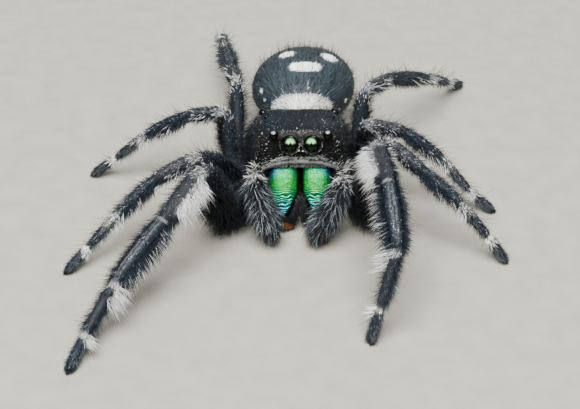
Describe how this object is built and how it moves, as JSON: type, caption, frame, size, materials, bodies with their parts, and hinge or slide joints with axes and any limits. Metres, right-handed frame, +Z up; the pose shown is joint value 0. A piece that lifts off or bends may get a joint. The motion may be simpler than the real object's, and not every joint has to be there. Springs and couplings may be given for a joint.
{
  "type": "regal jumping spider",
  "caption": "Life-size still model of a male regal jumping spider standing with its front raised, with fringed legs and green jaws.",
  "frame": {"origin": "middle of the whole model's box seen from above, on the ground", "axes": "+Z up, -Y the way the spider looks, +X its own left side"},
  "size_m": [0.02, 0.0274, 0.0055],
  "materials": {
    "body_coat": "short black pile with blue grey sheen and pure white marks",
    "leg_coat": "short blue black pile with pale lines and white fringes",
    "palp_coat": "long grey black hair",
    "jaw": "iridescent green horn",
    "horn": "dark brown glossy horn",
    "eye": "glossy black lens"
  },
  "bodies": {
    "root": {"abdomen": "body_coat", "cephalothorax": "body_coat", "chelicera_left": "jaw", "chelicera_right": "jaw", "eye_front_middle_left": "eye", "eye_front_middle_right": "eye", "eye_front_side_left": "eye", "eye_front_side_right": "eye", "eye_rear_left": "eye", "eye_rear_right": "eye", "eye_small_left": "eye", "eye_small_right": "eye", "fang_left": "horn", "fang_right": "horn", "leg_left_1_femur": "leg_coat", "leg_left_1_foot": "leg_coat", "leg_left_1_shank": "leg_coat", "leg_left_2_femur": "leg_coat", "leg_left_2_foot": "leg_coat", "leg_left_2_shank": "leg_coat", "leg_left_3_femur": "leg_coat", "leg_left_3_foot": "leg_coat", "leg_left_3_shank": "leg_coat", "leg_left_4_femur": "leg_coat", "leg_left_4_foot": "leg_coat", "leg_left_4_shank": "leg_coat", "leg_right_1_femur": "leg_coat", "leg_right_1_foot": "leg_coat", "leg_right_1_shank": "leg_coat", "leg_right_2_femur": "leg_coat", "leg_right_2_foot": "leg_coat", "leg_right_2_shank": "leg_coat", "leg_right_3_femur": "leg_coat", "leg_right_3_foot": "leg_coat", "leg_right_3_shank": "leg_coat", "leg_right_4_femur": "leg_coat", "leg_right_4_foot": "leg_coat", "leg_right_4_shank": "leg_coat", "palp_left_arm": "palp_coat", "palp_left_forearm": "palp_coat", "palp_right_arm": "palp_coat", "palp_right_forearm": "palp_coat"}
  },
  "joints": []
}
